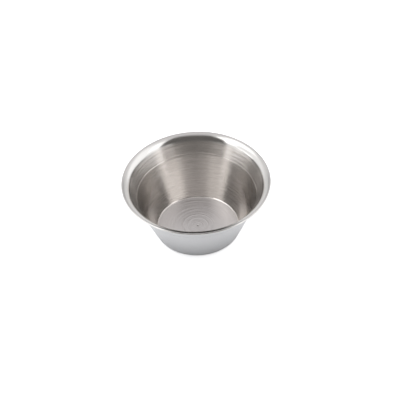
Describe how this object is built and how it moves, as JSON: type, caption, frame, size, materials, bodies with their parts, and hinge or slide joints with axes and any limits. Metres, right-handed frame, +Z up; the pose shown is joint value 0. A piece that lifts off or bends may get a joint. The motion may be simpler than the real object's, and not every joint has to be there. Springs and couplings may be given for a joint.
{
  "type": "sauce cup",
  "caption": "Round tapered stainless steel cup with a flat base, a drawn ring in its wall, a flared mouth and a rolled rim, for serving sauce or dip.",
  "frame": {"origin": "centre of the base's underside, on the surface that the cup stands on", "axes": "+Z up along the cup's axis, out of its mouth; the cup is round, so X and Y are any two level directions"},
  "size_m": [0.076, 0.076, 0.032],
  "materials": {
    "stainless_steel": "polished round the axis to a fine satin, with turned rings on the inside of the base"
  },
  "bodies": {
    "root": {"drawn_cup": "stainless_steel"}
  },
  "joints": []
}
